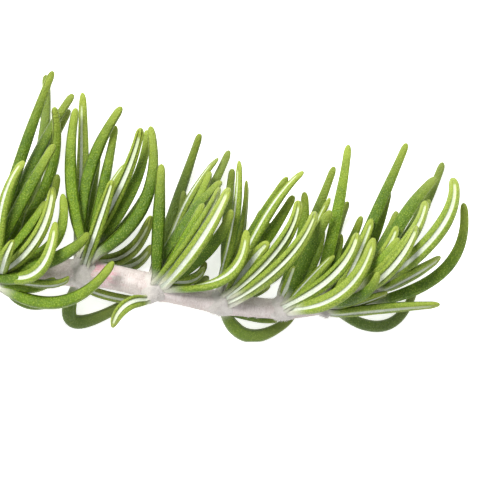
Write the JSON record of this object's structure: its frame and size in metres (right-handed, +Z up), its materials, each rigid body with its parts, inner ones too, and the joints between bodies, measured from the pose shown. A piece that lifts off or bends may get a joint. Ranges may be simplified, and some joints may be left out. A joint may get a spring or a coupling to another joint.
{
  "type": "rosemary sprig",
  "caption": "Cut sprig of rosemary lying on its side: a felted woody stem with tufts of narrow leaves swept to one side and toward the tip.",
  "frame": {"origin": "middle of the sprig's outline, on the surface it lies on", "axes": "+X from the cut end of the stem toward the growing tip, +Y the side the leaves sweep to, +Z up from the surface"},
  "size_m": [0.1239, 0.0547, 0.0225],
  "materials": {
    "felted_stem": "young wood under a short greyish-white felt",
    "leaf": "leathery green blade, felted white underneath between rolled edges"
  },
  "bodies": {
    "root": {"stem": "felted_stem", "leaf_tuft_1": "leaf", "leaf_tuft_2": "leaf", "leaf_tuft_3": "leaf", "leaf_tuft_4": "leaf", "leaf_tuft_5": "leaf", "leaf_tuft_6": "leaf", "leaf_tuft_7": "leaf", "leaf_tuft_8": "leaf"}
  },
  "joints": []
}
